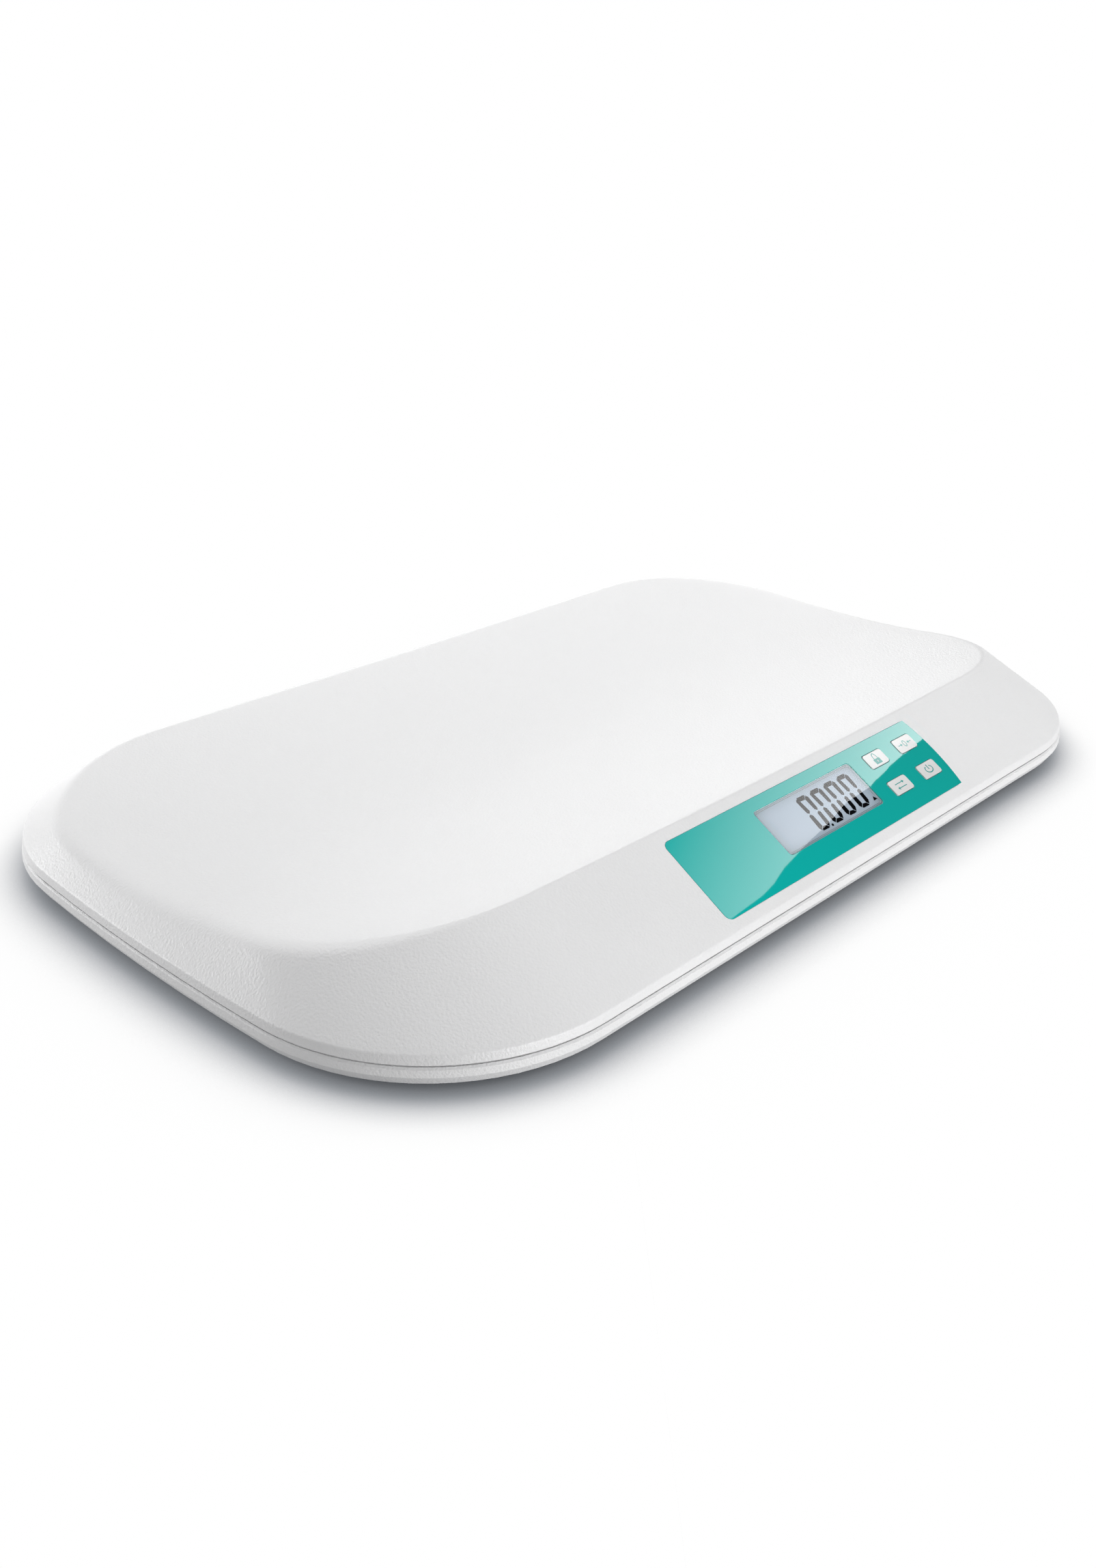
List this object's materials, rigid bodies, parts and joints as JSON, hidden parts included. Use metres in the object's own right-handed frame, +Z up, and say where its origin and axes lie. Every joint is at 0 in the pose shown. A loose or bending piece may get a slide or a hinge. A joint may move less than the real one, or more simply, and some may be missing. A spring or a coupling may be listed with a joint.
{
  "type": "digital baby weighing scale",
  "caption": "Low cradle-shaped weighing platform with a sloping teal control panel, display and keys, standing on load-cell feet with a battery door below.",
  "frame": {"origin": "middle of the scale in plan, on the surface that its feet stand on", "axes": "+X along the length to the right of the display, -Y towards the control panel, +Z up"},
  "size_m": [0.55, 0.336, 0.0478],
  "materials": {
    "white_plastic": "satin moulded",
    "inner_plastic": "satin moulded",
    "key_plastic": "satin",
    "teal_overlay": "glossy back-printed",
    "clear_window": "clear",
    "display_glass": "smooth",
    "light_guide": "frosted",
    "dark_rubber": "matt",
    "silicone": "matt",
    "carbon_pill": "matt",
    "circuit_board": "lacquered",
    "component_plastic": "moulded",
    "gauge_foil": "film",
    "cell_sleeve": "printed sleeve",
    "nickel_steel": "plated",
    "zinc_steel": "plated",
    "wire_insulation": "flexible"
  },
  "bodies": {
    "housing": {"top_tray": "white_plastic", "base_shell": "white_plastic", "control_overlay": "teal_overlay", "display_window": "clear_window", "lcd_glass": "display_glass", "lcd_frame": "inner_plastic", "backlight_panel": "light_guide", "zebra_strips": "dark_rubber", "main_pcb": "circuit_board", "pcb_components": "component_plastic", "keypad_mat": "silicone", "cell_carrier_fl": "inner_plastic", "cell_carrier_fr": "inner_plastic", "cell_carrier_bl": "inner_plastic", "cell_carrier_br": "inner_plastic", "load_cell_fl": "nickel_steel", "load_cell_fr": "nickel_steel", "load_cell_bl": "nickel_steel", "load_cell_br": "nickel_steel", "strain_gauges": "gauge_foil", "battery_box": "inner_plastic", "aaa_cells": "cell_sleeve", "battery_springs": "nickel_steel", "battery_plates": "nickel_steel", "case_screws": "zinc_steel", "pcb_screws": "zinc_steel", "carrier_screws": "zinc_steel", "sensor_wires": "wire_insulation", "battery_lead": "wire_insulation"},
    "key_lock_body": {"key_lock": "key_plastic", "key_pill_lock": "carbon_pill"},
    "key_zero_body": {"key_zero": "key_plastic", "key_pill_zero": "carbon_pill"},
    "key_swap_body": {"key_swap": "key_plastic", "key_pill_swap": "carbon_pill"},
    "key_power_body": {"key_power": "key_plastic", "key_pill_power": "carbon_pill"},
    "foot_fl_body": {"foot_fl": "inner_plastic", "foot_pad_fl": "dark_rubber", "load_beam_fl": "nickel_steel"},
    "foot_fr_body": {"foot_fr": "inner_plastic", "foot_pad_fr": "dark_rubber", "load_beam_fr": "nickel_steel"},
    "foot_bl_body": {"foot_bl": "inner_plastic", "foot_pad_bl": "dark_rubber", "load_beam_bl": "nickel_steel"},
    "foot_br_body": {"foot_br": "inner_plastic", "foot_pad_br": "dark_rubber", "load_beam_br": "nickel_steel"},
    "cover_body": {"battery_cover": "white_plastic"}
  },
  "joints": [
    {"name": "key_lock_press", "type": "slide", "parent": "housing", "child": "key_lock_body", "axis": [0, 0.5048, -0.8632], "range_m": [0, 0.0006], "stiffness_N_per_m": 2500},
    {"name": "key_zero_press", "type": "slide", "parent": "housing", "child": "key_zero_body", "axis": [0, 0.5048, -0.8632], "range_m": [0, 0.0006], "stiffness_N_per_m": 2500},
    {"name": "key_swap_press", "type": "slide", "parent": "housing", "child": "key_swap_body", "axis": [0, 0.5048, -0.8632], "range_m": [0, 0.0006], "stiffness_N_per_m": 2500},
    {"name": "key_power_press", "type": "slide", "parent": "housing", "child": "key_power_body", "axis": [0, 0.5048, -0.8632], "range_m": [0, 0.0006], "stiffness_N_per_m": 2500},
    {"name": "foot_fl_load", "type": "slide", "parent": "housing", "child": "foot_fl_body", "axis": [0, 0, 1], "range_m": [0, 0.0006], "stiffness_N_per_m": 1500, "springref_m": -0.0024},
    {"name": "foot_fr_load", "type": "slide", "parent": "housing", "child": "foot_fr_body", "axis": [0, 0, 1], "range_m": [0, 0.0006], "stiffness_N_per_m": 1500, "springref_m": -0.0024},
    {"name": "foot_bl_load", "type": "slide", "parent": "housing", "child": "foot_bl_body", "axis": [0, 0, 1], "range_m": [0, 0.0006], "stiffness_N_per_m": 1500, "springref_m": -0.0024},
    {"name": "foot_br_load", "type": "slide", "parent": "housing", "child": "foot_br_body", "axis": [0, 0, 1], "range_m": [0, 0.0006], "stiffness_N_per_m": 1500, "springref_m": -0.0024},
    {"name": "cover_hinge", "type": "hinge", "parent": "housing", "child": "cover_body", "pos_m": [0.02825, 0.04, 0.0069], "axis": [0, -1, 0], "range_deg": [0, 75]}
  ]
}
